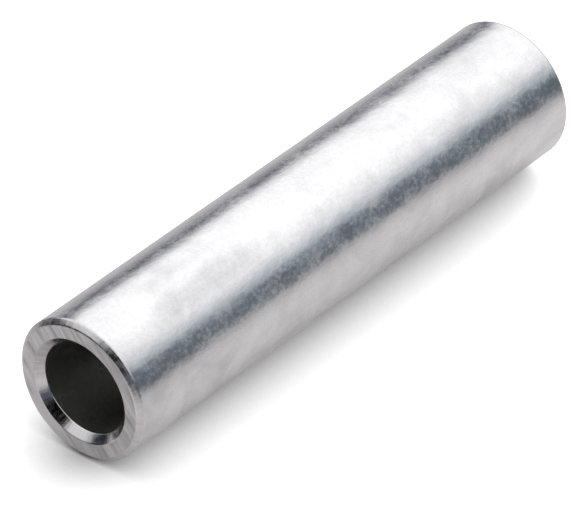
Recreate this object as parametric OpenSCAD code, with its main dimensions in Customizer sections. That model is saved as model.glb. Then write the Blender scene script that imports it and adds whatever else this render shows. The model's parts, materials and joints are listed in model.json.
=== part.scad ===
// Butt splice connector for two stranded aluminium conductors.
// A thick-walled aluminium sleeve stands on one end, with its axis along +Z.
// A drilled socket at each end takes one conductor, and a solid web at
// mid-length keeps the two conductors apart.

/* [Barrel] */
// Overall length of the sleeve
barrel_length = 125; // [90:1:210]
// Wall around each socket
wall_thickness = 5.1; // [4:0.1:8]
// Chamfer on the outer edge of each end, the same along the axis and across it
edge_chamfer = 1; // [0.3:0.1:1.6]

/* [Conductor sockets] */
// Bore of each socket
socket_diameter = 18.3; // [12:0.1:30]
// Solid web between the tips of the two drill points
stop_web = 4; // [1:0.5:12]
// Full angle of the drill point at the bottom of each socket
drill_point_angle = 118; // [90:1:140]
// Countersink at each mouth, the same along the axis and across it
mouth_countersink = 1.5; // [0.3:0.1:2]

/* [Hidden] */
$fn = 128;

socket_radius = socket_diameter / 2;
barrel_radius = socket_radius + wall_thickness;
drill_point_length = socket_radius / tan(drill_point_angle / 2);
drill_tip_depth = (barrel_length - stop_web) / 2;
socket_depth = drill_tip_depth - drill_point_length;

// Half-section of the lower end, as [radius, height]
lower_end = [
    // Socket, from the tip of its drill point out to its mouth
    [0, drill_tip_depth],
    [socket_radius, socket_depth],
    [socket_radius, mouth_countersink],
    // Sawn end face, from the countersink to the edge chamfer
    [socket_radius + mouth_countersink, 0],
    [barrel_radius - edge_chamfer, 0],
    // Barrel
    [barrel_radius, edge_chamfer]
];

// The same points turned end for end, from the barrel back to the tip of the upper drill point
upper_end = [for (i = [len(lower_end) - 1 : -1 : 0]) [lower_end[i].x, barrel_length - lower_end[i].y]];

module splice_sleeve() {
    color([0.78, 0.78, 0.79])
        rotate_extrude()
            polygon(concat(lower_end, upper_end));
}

splice_sleeve();
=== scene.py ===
"""Butt splice connector in bare aluminium, lit and framed as in the photograph.

The sleeve stands on its end in its own frame. The photograph shows it lying down, so the camera is rolled,
and the pale floor of the shot is a plane that touches the sleeve's side.
"""
import json
import math

import bmesh
import bpy
from mathutils import Matrix, Vector, noise


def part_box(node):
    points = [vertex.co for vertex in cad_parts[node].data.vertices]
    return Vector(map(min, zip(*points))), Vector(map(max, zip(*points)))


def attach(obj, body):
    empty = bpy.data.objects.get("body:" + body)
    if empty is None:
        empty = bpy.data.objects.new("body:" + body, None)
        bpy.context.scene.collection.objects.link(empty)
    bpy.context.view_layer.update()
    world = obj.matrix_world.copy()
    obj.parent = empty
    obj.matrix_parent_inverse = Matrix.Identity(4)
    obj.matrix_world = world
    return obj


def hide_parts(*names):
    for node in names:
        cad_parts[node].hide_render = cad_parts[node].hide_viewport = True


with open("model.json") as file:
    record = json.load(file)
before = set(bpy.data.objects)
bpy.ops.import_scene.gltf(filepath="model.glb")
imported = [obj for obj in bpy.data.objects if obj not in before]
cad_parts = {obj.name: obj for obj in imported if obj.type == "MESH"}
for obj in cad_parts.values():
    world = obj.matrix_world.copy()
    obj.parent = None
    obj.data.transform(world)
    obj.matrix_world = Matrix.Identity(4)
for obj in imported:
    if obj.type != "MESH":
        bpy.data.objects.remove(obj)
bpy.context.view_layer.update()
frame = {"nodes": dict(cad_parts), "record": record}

NODE = "splice_sleeve"
# Lengths below this count as none
TINY = 1e-6
MM_PER_M = 1000

# Sizes of the sleeve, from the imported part. The radius is the smaller one, so the mesh stays inside its box.
box_low, box_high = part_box(NODE)
MOUNTS = {m["name"]: m for m in frame["record"]["mounts"]}
LENGTH = box_high.z - box_low.z
RADIUS = min(box_high.x - box_low.x, box_high.y - box_low.y) / 2
SOCKET_RADIUS = MOUNTS["upper_socket"]["dims"]["r_mm"] / MM_PER_M
SOCKET_WALL = MOUNTS["upper_socket"]["dims"]["length_mm"] / MM_PER_M
SOCKET_MIDDLE = MOUNTS["lower_socket"]["pos_m"][2]
COUNTERSINK = SOCKET_MIDDLE - SOCKET_WALL / 2
SOCKET_DEPTH = SOCKET_MIDDLE + SOCKET_WALL / 2
CHAMFER = (LENGTH - MOUNTS["crimp_barrel"]["dims"]["length_mm"] / MM_PER_M) / 2
DRILL_TIP = min(v.co.z for v in frame["nodes"][NODE].data.vertices if v.co.xy.length < TINY)

# Picture and camera, fitted to the photograph. The distance was found in radii of the sleeve.
PICTURE_W, PICTURE_H = 588, 505
FOCAL_PIXELS = 5928
FITTED_RADIUS = 0.01425
CAMERA_DISTANCE = 73.33 * FITTED_RADIUS
CAMERA_ELEVATION = math.radians(39.32)
AXIS_SLOPE = math.radians(35.40)
MOUTH_PIXEL = (78.9, 391.95)
SENSOR_MM = 36.0
CLIP_END = 20

# Mesh: points in each ring, sizes of the broken edges, and steps across one
SEGMENTS = 512
EDGE_BREAK = 0.00014
RIM_BREAK = 0.00032
EDGE_STEPS = 5

# Marks of making, all cut inwards: saw grooves across the end faces, and the unevenness of the drawn bar
SAW_ANGLE = math.radians(-8.2)
SAW_PITCH = 0.0009
SAW_REACH = 0.05
SAW_DEPTH = 0.00004
WAVE_LENGTH = 0.009
WAVE_DEPTH = 0.00004


def shot_axes():
    """Right, up and backward of the picture, as directions in the row frame."""
    sin_e, cos_e = math.sin(CAMERA_ELEVATION), math.cos(CAMERA_ELEVATION)
    sin_s, cos_s = math.sin(AXIS_SLOPE), math.cos(AXIS_SLOPE)
    right = Vector((-sin_s, -sin_e * cos_s, -cos_e * cos_s))
    up = Vector((cos_s, -sin_e * sin_s, -cos_e * sin_s))
    back = Vector((0, -cos_e, sin_e))
    return right, up, back


PICTURE_RIGHT, PICTURE_UP, PICTURE_BACK = shot_axes()
AXIS = Vector((0, 0, 1))
FLOOR_UP = AXIS.cross(PICTURE_RIGHT).normalized()
FLOOR_RIGHT = FLOOR_UP.cross(AXIS)


def make_camera():
    """A long lens that sees the upper end at the photograph's place and size."""
    camera = bpy.data.objects.new("camera", bpy.data.cameras.new("camera"))
    camera.data.sensor_width = SENSOR_MM
    camera.data.lens = FOCAL_PIXELS * SENSOR_MM / PICTURE_W
    camera.data.clip_end = CLIP_END
    aim_right = (MOUTH_PIXEL[0] - PICTURE_W / 2) / FOCAL_PIXELS
    aim_up = (PICTURE_H / 2 - MOUTH_PIXEL[1]) / FOCAL_PIXELS
    ray = PICTURE_RIGHT * aim_right + PICTURE_UP * aim_up - PICTURE_BACK
    place = AXIS * LENGTH - ray * CAMERA_DISTANCE
    turn = Matrix((PICTURE_RIGHT, PICTURE_UP, PICTURE_BACK)).transposed()
    camera.matrix_world = Matrix.Translation(place) @ turn.to_4x4()
    bpy.context.scene.collection.objects.link(camera)
    bpy.context.scene.camera = camera


# Zones of the profile, in the order of the material slots, and the length of a step along each
BARREL, FACE, RIM, MOUTH, BORE = range(5)
STEP = {BARREL: 0.002, FACE: 0.00016, RIM: 0.0003, MOUTH: 0.0003, BORE: 0.006}


def corners():
    """Half-section of the sleeve as (radius, height, zone of the stretch that follows)."""
    mouth = SOCKET_RADIUS + COUNTERSINK
    rim = RADIUS - CHAMFER
    lower = [
        (0, DRILL_TIP, BORE),
        (SOCKET_RADIUS, SOCKET_DEPTH, BORE),
        (SOCKET_RADIUS, COUNTERSINK, MOUTH),
        (mouth, 0, FACE),
        (rim, 0, RIM),
        (RADIUS, CHAMFER, BARREL),
    ]
    upper = [
        (RADIUS, LENGTH - CHAMFER, RIM),
        (rim, LENGTH, FACE),
        (mouth, LENGTH, MOUTH),
        (SOCKET_RADIUS, LENGTH - COUNTERSINK, BORE),
        (SOCKET_RADIUS, LENGTH - SOCKET_DEPTH, BORE),
        (0, LENGTH - DRILL_TIP, BORE),
    ]
    return lower + upper


def profile():
    """The half-section with its corners broken and its stretches divided: [(radius, height, zone)]."""
    marks = corners()
    points = [marks[0]]
    for before, here, after in zip(marks, marks[1:], marks[2:]):
        p, a, b = (Vector(m[:2]) for m in (here, before, after))
        size = RIM_BREAK if RIM in (before[2], here[2]) else EDGE_BREAK
        start = p + (a - p).normalized() * size
        end = p + (b - p).normalized() * size
        for i in range(EDGE_STEPS + 1):
            t = i / EDGE_STEPS
            q = start * (1 - t) ** 2 + p * 2 * t * (1 - t) + end * t ** 2
            points.append((q.x, q.y, here[2] if 2 * i >= EDGE_STEPS else before[2]))
    points.append(marks[-1])
    fine = []
    for here, after in zip(points, points[1:]):
        run = math.dist(here[:2], after[:2])
        parts = max(1, round(run / STEP[here[2]]))
        for i in range(parts):
            t = i / parts
            fine.append((here[0] + (after[0] - here[0]) * t, here[1] + (after[1] - here[1]) * t, here[2]))
    fine.append(points[-1])
    return fine


def depth_share(place):
    """Noise at a place as a share of a mark's depth, from 0 to 1."""
    return 0.5 - 0.5 * max(-1, min(1, noise.noise(place)))


def saw_groove(x, y, end):
    """Depth of the saw marks at a point of an end face. They are straight, and each end has its own."""
    along = x * math.cos(SAW_ANGLE) + y * math.sin(SAW_ANGLE)
    across = y * math.cos(SAW_ANGLE) - x * math.sin(SAW_ANGLE)
    return SAW_DEPTH * depth_share(Vector((along / SAW_REACH, across / SAW_PITCH, end)))


def bar_wave(place):
    """How far the drawn bar lies inside its true cylinder at a place."""
    return WAVE_DEPTH * depth_share(place / WAVE_LENGTH)


def ring_points(radius, height, zone):
    """One ring of the revolved section, with the marks of making."""
    points = []
    for i in range(SEGMENTS):
        turn = math.tau * i / SEGMENTS
        p = Vector((radius * math.cos(turn), radius * math.sin(turn), height))
        if zone == FACE and min(height, LENGTH - height) < TINY:
            upper = height > LENGTH / 2
            p.z += saw_groove(p.x, p.y, upper) * (-1 if upper else 1)
        if zone == BARREL and radius > RADIUS - TINY:
            p.xy *= 1 - bar_wave(p) / radius
        points.append(p)
    return points


def make_sleeve(materials):
    """The sleeve as one closed revolved mesh, with a material for each zone."""
    bm = bmesh.new()
    rings, zones = [], []
    for radius, height, zone in profile():
        on_axis = radius < TINY
        points = [Vector((0, 0, height))] if on_axis else ring_points(radius, height, zone)
        rings.append([bm.verts.new(p) for p in points])
        zones.append(zone)
    for low, high, zone in zip(rings, rings[1:], zones):
        for i in range(SEGMENTS):
            j = (i + 1) % SEGMENTS
            loop = [low[i % len(low)], low[j % len(low)], high[j % len(high)], high[i % len(high)]]
            face = bm.faces.new(list(dict.fromkeys(loop)))
            face.material_index = zone
            face.smooth = True
    bmesh.ops.recalc_face_normals(bm, faces=bm.faces)
    mesh = bpy.data.meshes.new("sleeve")
    bm.to_mesh(mesh)
    bm.free()
    for material in materials:
        mesh.materials.append(material)
    sleeve = bpy.data.objects.new("sleeve", mesh)
    bpy.context.scene.collection.objects.link(sleeve)
    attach(sleeve, "root")
    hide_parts(NODE)


class Tree:
    """Short calls for one node tree."""

    def __init__(self, owner):
        owner.use_nodes = True
        self.nodes, self.links = owner.node_tree.nodes, owner.node_tree.links
        self.nodes.clear()

    def add(self, kind, inputs=(), **settings):
        """A node of a kind, with its settings, and its inputs linked or set."""
        node = self.nodes.new("ShaderNode" + kind)
        for name, value in settings.items():
            setattr(node, name, value)
        for name, value in dict(inputs).items():
            if isinstance(value, bpy.types.NodeSocket):
                self.links.new(value, node.inputs[name])
            else:
                node.inputs[name].default_value = value
        return node

    def place(self, stretch=(1, 1, 1), turn=0):
        """The object's own coordinates in metres, turned about the axis and then stretched."""
        spot = self.add("TexCoord").outputs["Object"]
        turned = self.add("VectorRotate", {"Vector": spot, "Angle": turn}, rotation_type="Z_AXIS").outputs[0]
        return self.add("VectorMath", {0: turned, 1: stretch}, operation="MULTIPLY").outputs[0]

    def parts(self, vector):
        """The X, Y and Z of a vector, by name."""
        return self.add("SeparateXYZ", {"Vector": vector}).outputs

    def speckle(self, vector, size, detail=2.0, roughness=0.5, distortion=0.0):
        """Noise whose largest features are about size metres across."""
        values = {"Vector": vector, "Scale": 1 / size, "Detail": detail,
                  "Roughness": roughness, "Distortion": distortion}
        return self.add("TexNoise", values).outputs["Fac"]

    def spread(self, value, low, high, start=0.3, stop=0.7):
        """The value between start and stop, taken to low and high."""
        values = {"Value": value, "From Min": start, "From Max": stop, "To Min": low, "To Max": high}
        return self.add("MapRange", values).outputs["Result"]

    def mix(self, share, first, second):
        """A colour between two others, which are plain colours or come from nodes."""
        inputs = {"Factor": share}
        for name, colour in (("A", first), ("B", second)):
            linked = isinstance(colour, bpy.types.NodeSocket)
            inputs[name] = colour if linked else (*colour, 1)
        return self.add("Mix", inputs, data_type="RGBA").outputs["Result"]

    def tint(self, value, low, high, start=0.3, stop=0.7):
        """A colour between low and high by the value."""
        return self.mix(self.spread(value, 0, 1, start, stop), low, high)

    def ramp(self, value, stops):
        """A colour by the value, from stops of (position, colour)."""
        node = self.add("ValToRGB", {"Fac": value})
        elements = node.color_ramp.elements
        while len(elements) < len(stops):
            elements.new(1)
        for element, (position, colour) in zip(elements, stops):
            element.position = position
            element.color = (*colour, 1)
        return node.outputs["Color"]

    def total(self, *values):
        """The sum of values."""
        result = values[0]
        for value in values[1:]:
            result = self.add("Math", {0: result, 1: value}, operation="ADD").outputs[0]
        return result

    def times(self, value, factor):
        """The product of two values."""
        return self.add("Math", {0: value, 1: factor}, operation="MULTIPLY").outputs[0]

    def weighed(self, *pairs):
        """The sum of values, each times its weight."""
        return self.total(*(self.times(value, weight) for value, weight in pairs))

    def unsigned(self, value):
        """The value without its sign."""
        return self.add("Math", {0: value}, operation="ABSOLUTE").outputs[0]

    def metal(self, colour, roughness, relief, mirrored=1.0):
        """A metal as the surface: colour, roughness, relief in metres, and the share that it mirrors."""
        bump = self.add("Bump", {"Height": relief, "Strength": 1.0, "Distance": 1.0}).outputs["Normal"]
        values = {"Base Color": colour, "Roughness": roughness, "Normal": bump, "Metallic": mirrored}
        shader = self.add("BsdfPrincipled", values)
        self.add("OutputMaterial", {"Surface": shader.outputs["BSDF"]})


# Drawn barrel: its colours where it is dull and where it is bright, and the range of its roughness
BARREL_DULL = (0.563, 0.563, 0.573)
BARREL_BRIGHT = (0.82, 0.817, 0.822)
BARREL_ROUGHNESS = (0.18, 0.34)
# Depths of its relief
DIMPLE_DEPTH = 5.0e-5
GRAIN_DEPTH = 1.0e-5
LINE_DEPTH = 4.0e-6
# Share of the light that its frosted flecks mirror, while they scatter the rest, and how much paler they are
FLECK_MIRRORED = 0.84
FLECK_PALER = 0.07
# How much duller it is at its ends, where it is handled, coming in over these distances from mid-length
HANDLED_DULLER = 0.05
HANDLED_FADE = (0.12 * LENGTH, 0.35 * LENGTH)
# A dull smudge near the upper end: its angle from the line nearest the camera, its height, its stretch,
# how much duller it is, and the distances from its centre over which it fades
SMUDGE_ANGLE = math.radians(13)
SMUDGE_HEIGHT = 0.097
SMUDGE_STRETCH = (1, 1, 0.15)
SMUDGE_DULLER = 0.26
SMUDGE_FADE = (0.00128, 0.0032)


def drawn_barrel():
    """Drawn aluminium: satin with frosted flecks, and a soft cloudy mottle that is duller at the ends."""
    material = bpy.data.materials.new("drawn_barrel")
    t = Tree(material)
    clouds = t.speckle(t.place(), 0.010, detail=5, roughness=0.6, distortion=0.8)
    smears = t.speckle(t.place((1, 1, 0.4)), 0.0035, detail=3)
    grain = t.speckle(t.place(), 0.0007, detail=2)
    fleck = t.speckle(t.place(), 0.0009, detail=2, roughness=0.6)
    dimple = t.speckle(t.place((1, 1, 0.6)), 0.0022, detail=2)
    lines = t.speckle(t.place((1, 1, 0.03)), 0.0006, detail=2)
    from_middle = t.unsigned(t.total(t.parts(t.place())["Z"], -LENGTH / 2))
    handled = t.spread(from_middle, 0, -HANDLED_DULLER, *HANDLED_FADE)
    centre = Vector((RADIUS * math.sin(SMUDGE_ANGLE), -RADIUS * math.cos(SMUDGE_ANGLE), SMUDGE_HEIGHT))
    ends = {0: t.place(SMUDGE_STRETCH), 1: centre * Vector(SMUDGE_STRETCH)}
    off_centre = t.add("VectorMath", ends, operation="DISTANCE").outputs["Value"]
    smudged = t.spread(off_centre, -SMUDGE_DULLER, 0, *SMUDGE_FADE)
    frosted = t.spread(t.weighed((fleck, 0.75), (smears, 0.25)), 0, 1, 0.44, 0.68)
    mirrored = t.spread(frosted, 1, FLECK_MIRRORED, 0, 1)
    mottle = t.weighed((clouds, 0.90), (smears, 0.30), (lines, 0.10), (frosted, FLECK_PALER))
    colour = t.tint(t.total(mottle, handled, smudged), BARREL_DULL, BARREL_BRIGHT, 0.315, 0.755)
    satin = t.weighed((clouds, 0.35), (smears, 0.30), (fleck, 0.35))
    roughness = t.spread(satin, *BARREL_ROUGHNESS, 0.43, 0.61)
    relief = t.weighed((dimple, DIMPLE_DEPTH), (grain, GRAIN_DEPTH), (lines, LINE_DEPTH))
    t.metal(colour, roughness, relief, mirrored)
    return material


# Sawn end faces: their colours where they are dull and bright, and the range of their roughness
FACE_DULL = (0.41, 0.407, 0.41)
FACE_BRIGHT = (0.755, 0.751, 0.755)
FACE_ROUGHNESS = (0.36, 0.5)
# Depths of the saw marks that are too fine for the mesh
FINE_MARK_DEPTH = 1.5e-5
BROAD_MARK_DEPTH = 3.0e-5
# Painted light: the faces are painted lighter in this direction about the axis, by this much per metre, in
# place of the brighter light that they mirror on that side
PAINTED_LIGHT_ANGLE = math.radians(112)
PAINTED_LIGHT_SLOPE = 6.5


def sawn_face():
    """Sawn aluminium: straight saw marks, here strong and there faint, over a dull warm grey, with painted
    light that makes one side lighter.
    """
    material = bpy.data.materials.new("sawn_face")
    t = Tree(material)
    broad = t.speckle(t.place((0.03, 1, 1), -SAW_ANGLE), 0.0012, detail=2)
    fine = t.speckle(t.place((0.06, 1, 1), -SAW_ANGLE), 0.00035, detail=3)
    stain = t.speckle(t.place(), 0.004, detail=3)
    bite = t.spread(t.speckle(t.place(), 0.006, detail=2), 0.4, 1.6)
    marks = t.total(t.weighed((broad, 0.6), (fine, 0.4)), -0.5)
    # Painted light: the colour grows lighter towards one side, in place of the brighter light that the face
    # mirrors there
    painted_light = t.parts(t.place(turn=-PAINTED_LIGHT_ANGLE))["X"]
    shade = t.total(t.times(marks, bite), t.weighed((stain, 0.3), (painted_light, PAINTED_LIGHT_SLOPE)))
    colour = t.tint(shade, FACE_DULL, FACE_BRIGHT, 0.0, 0.3)
    roughness = t.spread(stain, *FACE_ROUGHNESS)
    t.metal(colour, roughness, t.weighed((fine, FINE_MARK_DEPTH), (broad, BROAD_MARK_DEPTH)))
    return material


# Turned cuts: the angle from one chatter mark to the next, in radians, and the depth of the tool's rings
CHATTER_ANGLE = 0.06
TOOL_RING_DEPTH = 5.0e-6


def turned(name, dull, bright, roughness_range, chatter_depth):
    """A turned cut with rings, chatter and scuffs: its two colours, roughness and depth of chatter."""
    material = bpy.data.materials.new(name)
    t = Tree(material)
    spot = t.parts(t.place())
    flat = t.add("CombineXYZ", {"X": spot["X"], "Y": spot["Y"]}).outputs[0]
    radius = t.add("VectorMath", {0: flat}, operation="LENGTH").outputs["Value"]
    heading = t.add("VectorMath", {0: flat}, operation="NORMALIZE").outputs[0]
    section = t.add("CombineXYZ", {"X": radius, "Y": spot["Z"]}).outputs[0]
    rings = t.speckle(section, 0.0003, detail=2)
    chatter = t.speckle(heading, CHATTER_ANGLE, detail=3)
    scuff = t.speckle(t.place(), 0.0013, detail=3)
    shade = t.weighed((rings, 0.2), (chatter, 0.4), (scuff, 0.4))
    colour = t.tint(shade, dull, bright, 0.38, 0.62)
    gloss = t.weighed((rings, 0.4), (chatter, 0.2), (scuff, 0.4))
    roughness = t.spread(gloss, *roughness_range, 0.40, 0.60)
    relief = t.weighed((rings, TOOL_RING_DEPTH), (chatter, chatter_depth), (scuff, chatter_depth))
    t.metal(colour, roughness, relief)
    return material


def turned_rim():
    """Outer chamfer: turned, and dulled by handling."""
    return turned("turned_rim", dull=(0.58, 0.57, 0.57), bright=(0.76, 0.75, 0.75),
                  roughness_range=(0.21, 0.41), chatter_depth=3.0e-5)


def turned_mouth():
    """Countersink of a socket: a bright turned cut."""
    return turned("turned_mouth", dull=(0.58, 0.565, 0.57), bright=(0.72, 0.71, 0.715),
                  roughness_range=(0.11, 0.24), chatter_depth=1.4e-5)


# Socket walls: their two colours, the range of their roughness, the depth of the drill's rings,
# and the share of the light that they mirror
SOCKET_DULL = (0.66, 0.66, 0.65)
SOCKET_BRIGHT = (0.73, 0.73, 0.715)
SOCKET_ROUGHNESS = (0.22, 0.28)
DRILL_RING_DEPTH = 2.0e-6
SOCKET_MIRRORED = 0.98


def socket_wall():
    """Drilled wall of the sockets: bare and fairly smooth, with rings from the drill."""
    material = bpy.data.materials.new("socket_wall")
    t = Tree(material)
    rings = t.speckle(t.place((0.05, 0.05, 1)), 0.0005, detail=2)
    stain = t.speckle(t.place(), 0.006, detail=3)
    colour = t.tint(t.weighed((rings, 0.4), (stain, 0.6)), SOCKET_DULL, SOCKET_BRIGHT)
    roughness = t.spread(stain, *SOCKET_ROUGHNESS)
    t.metal(colour, roughness, t.times(rings, DRILL_RING_DEPTH), SOCKET_MIRRORED)
    return material


# Floor of the shot
FLOOR_RADIUS = 0.30
FLOOR_SIDES = 96
# The photograph shows its floor overexposed, so the camera sees more of its light than the metal mirrors
FLOOR_SHOWN = 1.74
# Brightness of the mirrored floor by distance to the right of the sleeve, in radii
FLOOR_MIRRORED = [
    (-12, 0.54), (-4, 0.62), (-2, 0.80), (0, 0.78), (1.4, 0.85),
    (3.2, 0.755), (4.3, 0.675), (6.4, 0.605), (12, 0.43),
]
FLOOR_TINT = (1.01, 0.97, 0.98)
# The floor's light leans by this angle towards the lower end of the sleeve
LIGHT_LEAN = math.radians(37)
# What lies within this distance shades the floor
SHADE_REACH = 0.5
# Least share of its light that the mirrored floor keeps in the shade
SHADE_LIGHT = 0.16
# Share that it keeps right under the sleeve, for views from below the floor. It fades out between these
# distances from the line of contact, and between these from mid-length, at the upper end.
UNDER_LIGHT = 0.85
UNDER_REACH = (0.05 * RADIUS, 0.6 * RADIUS)
UNDER_END = (LENGTH / 2 - 0.18 * RADIUS, LENGTH / 2 - 0.06 * RADIUS)


def pale_floor():
    """Material of the floor: one light for the camera, another for the metal, and a clear underside."""
    material = bpy.data.materials.new("pale_floor")
    t = Tree(material)
    geometry = t.add("NewGeometry").outputs
    lean = {0: geometry["Normal"], 1: -AXIS * math.tan(LIGHT_LEAN)}
    leaning = t.add("VectorMath", lean, operation="ADD").outputs[0]
    to_light = t.add("VectorMath", {0: leaning}, operation="NORMALIZE").outputs[0]
    free = t.add("AmbientOcclusion", {"Distance": SHADE_REACH, "Normal": to_light}).outputs["AO"]
    openness = t.spread(free, 0, 1, (1 - math.cos(LIGHT_LEAN)) / 2, 1)
    shown = t.add("Emission", {"Strength": t.times(openness, FLOOR_SHOWN)}).outputs["Emission"]

    spot = t.parts(t.place())
    left, towards_upper_end = spot["X"], spot["Y"]
    first, last = (FLOOR_MIRRORED[i][0] * RADIUS for i in (0, -1))
    stops = []
    for radii, level in FLOOR_MIRRORED:
        stops.append(((radii * RADIUS - first) / (last - first), [c * level for c in FLOOR_TINT]))
    pool = t.ramp(t.spread(left, 1, 0, -last, -first), stops)
    by_contact = t.spread(t.unsigned(left), UNDER_LIGHT, 0, *UNDER_REACH)
    under = t.times(by_contact, t.spread(towards_upper_end, 1, 0, *UNDER_END))
    shares = {0: t.spread(free, SHADE_LIGHT, 1, 0, 1), 1: under}
    share = t.add("Math", shares, operation="MAXIMUM").outputs[0]
    mirrored = t.add("Emission", {"Color": pool, "Strength": share}).outputs["Emission"]

    first_ray = t.add("LightPath").outputs["Is Camera Ray"]
    top = t.add("MixShader", {0: first_ray, 1: mirrored, 2: shown}).outputs["Shader"]
    clear = t.add("BsdfTransparent").outputs["BSDF"]
    surface = t.add("MixShader", {0: geometry["Backfacing"], 1: top, 2: clear}).outputs["Shader"]
    t.add("OutputMaterial", {"Surface": surface})
    material.cycles.emission_sampling = "NONE"
    return material


def make_floor():
    """The floor of the shot, a disc that touches the side of the sleeve."""
    bm = bmesh.new()
    bmesh.ops.create_circle(bm, cap_ends=True, segments=FLOOR_SIDES, radius=FLOOR_RADIUS)
    mesh = bpy.data.meshes.new("floor")
    bm.to_mesh(mesh)
    bm.free()
    mesh.materials.append(pale_floor())
    floor = bpy.data.objects.new("floor", mesh)
    bpy.context.scene.collection.objects.link(floor)
    place = AXIS * (LENGTH / 2) - FLOOR_UP * RADIUS
    turn = Matrix((-FLOOR_RIGHT, AXIS, FLOOR_UP)).transposed()
    floor.matrix_world = Matrix.Translation(place) @ turn.to_4x4()


# Brightness of the white tent's sides by height above the floor, 0 at the horizon and 1 overhead
RIGHT_SIDE = [
    (0.26, 0.17), (0.33, 0.30), (0.375, 0.58), (0.46, 0.74), (0.58, 1.11),
    (0.70, 1.28), (0.74, 1.40), (0.79, 1.52), (1, 1.55),
]
LEFT_SIDE = [
    (0.02, 0.40), (0.09, 0.24), (0.14, 0.08), (0.20, 0.20), (0.32, 0.46),
    (0.40, 0.92), (0.47, 1.29), (0.62, 1.46), (0.79, 1.52), (1, 1.55),
]
NEAR_SIDE = [(0.39, 0.04), (0.475, 0.84), (0.55, 1.18), (0.72, 1.22), (0.87, 1.47), (1, 1.55)]
TENT_BRIGHTNESS = 1.55
# Tints of the tent where it is dark, on the left side and elsewhere, and where it is bright
LEFT_SHADE = (0.94, 0.97, 1.11)
TENT_SHADE = (0.80, 1.0, 1.22)
TENT_WHITE = (1.0, 0.995, 1.005)
# Between these cosines one side of the tent goes over into the next
RIGHT_TO_LEFT = (0.2, 0.6)
FAR_TO_NEAR = (0.66, 0.80)
NEAR_AXIS = AXIS * 0.75 - FLOOR_RIGHT * 0.66
# The tent's opening for the camera: full light outside the first cosine, dark within the second
OPENING_AXIS = FLOOR_UP * 0.55 + FLOOR_RIGHT * 0.34 + AXIS * 0.765
OPENING = (0.89, 0.945)
# The tent has its full light over the lower end, and this share of it over the rest.
# It goes over from one to the other between these cosines to the axis.
UPPER_LIGHT = 0.74
LOWER_TO_UPPER = (-0.60, -0.40)
# Past the lower end the tent is white down to the floor, within the first of these cosines to the axis
WHITE_END = (-0.96, -0.86)
GLOSSY_BOUNCES = 24


def tent_stops(side, shade):
    """Stops of a ramp for one side of the tent, as shares of its brightness, tinted where it is dark."""
    stops = []
    for height, level in side:
        share = min(1, level)
        tint = [dark + (light - dark) * share for dark, light in zip(shade, TENT_WHITE)]
        stops.append((height, [c * level / TENT_BRIGHTNESS for c in tint]))
    return stops


def make_light():
    """A white tent: bright overhead and past the lower end, dark along the horizon and round the camera."""
    world = bpy.data.worlds.new("studio")
    bpy.context.scene.world = world
    t = Tree(world)
    direction = t.add("TexCoord").outputs["Generated"]

    def along(axis):
        return t.add("VectorMath", {0: direction, 1: axis}, operation="DOT_PRODUCT").outputs["Value"]

    height = along(FLOOR_UP)
    right = t.ramp(height, tent_stops(RIGHT_SIDE, TENT_SHADE))
    left = t.ramp(height, tent_stops(LEFT_SIDE, LEFT_SHADE))
    near = t.ramp(height, tent_stops(NEAR_SIDE, TENT_SHADE))
    far = t.mix(t.spread(along(-FLOOR_RIGHT), 0, 1, *RIGHT_TO_LEFT), right, left)
    around = t.mix(t.spread(along(NEAR_AXIS), 0, 1, *FAR_TO_NEAR), far, near)
    white = [c / TENT_BRIGHTNESS for c in TENT_WHITE]
    tent = t.mix(t.spread(along(AXIS), 1, 0, *WHITE_END), around, white)
    opening = t.spread(along(OPENING_AXIS), TENT_BRIGHTNESS, 0, *OPENING)
    by_end = t.spread(along(AXIS), 1, UPPER_LIGHT, *LOWER_TO_UPPER)
    strength = t.times(opening, by_end)
    lit = t.add("Background", {"Color": tent, "Strength": strength}).outputs["Background"]
    seen = t.add("Background", {"Color": (1, 1, 1, 1)}).outputs["Background"]
    first_ray = t.add("LightPath").outputs["Is Camera Ray"]
    surface = t.add("MixShader", {0: first_ray, 1: lit, 2: seen}).outputs["Shader"]
    t.add("OutputWorld", {"Surface": surface})


def set_look():
    """Plain colours, and enough bounces for the light inside the sockets."""
    scene = bpy.context.scene
    scene.view_settings.view_transform = "Standard"
    scene.cycles.glossy_bounces = GLOSSY_BOUNCES
    scene.cycles.max_bounces = GLOSSY_BOUNCES


make_camera()
make_sleeve([drawn_barrel(), sawn_face(), turned_rim(), turned_mouth(), socket_wall()])
make_floor()
make_light()
set_look()
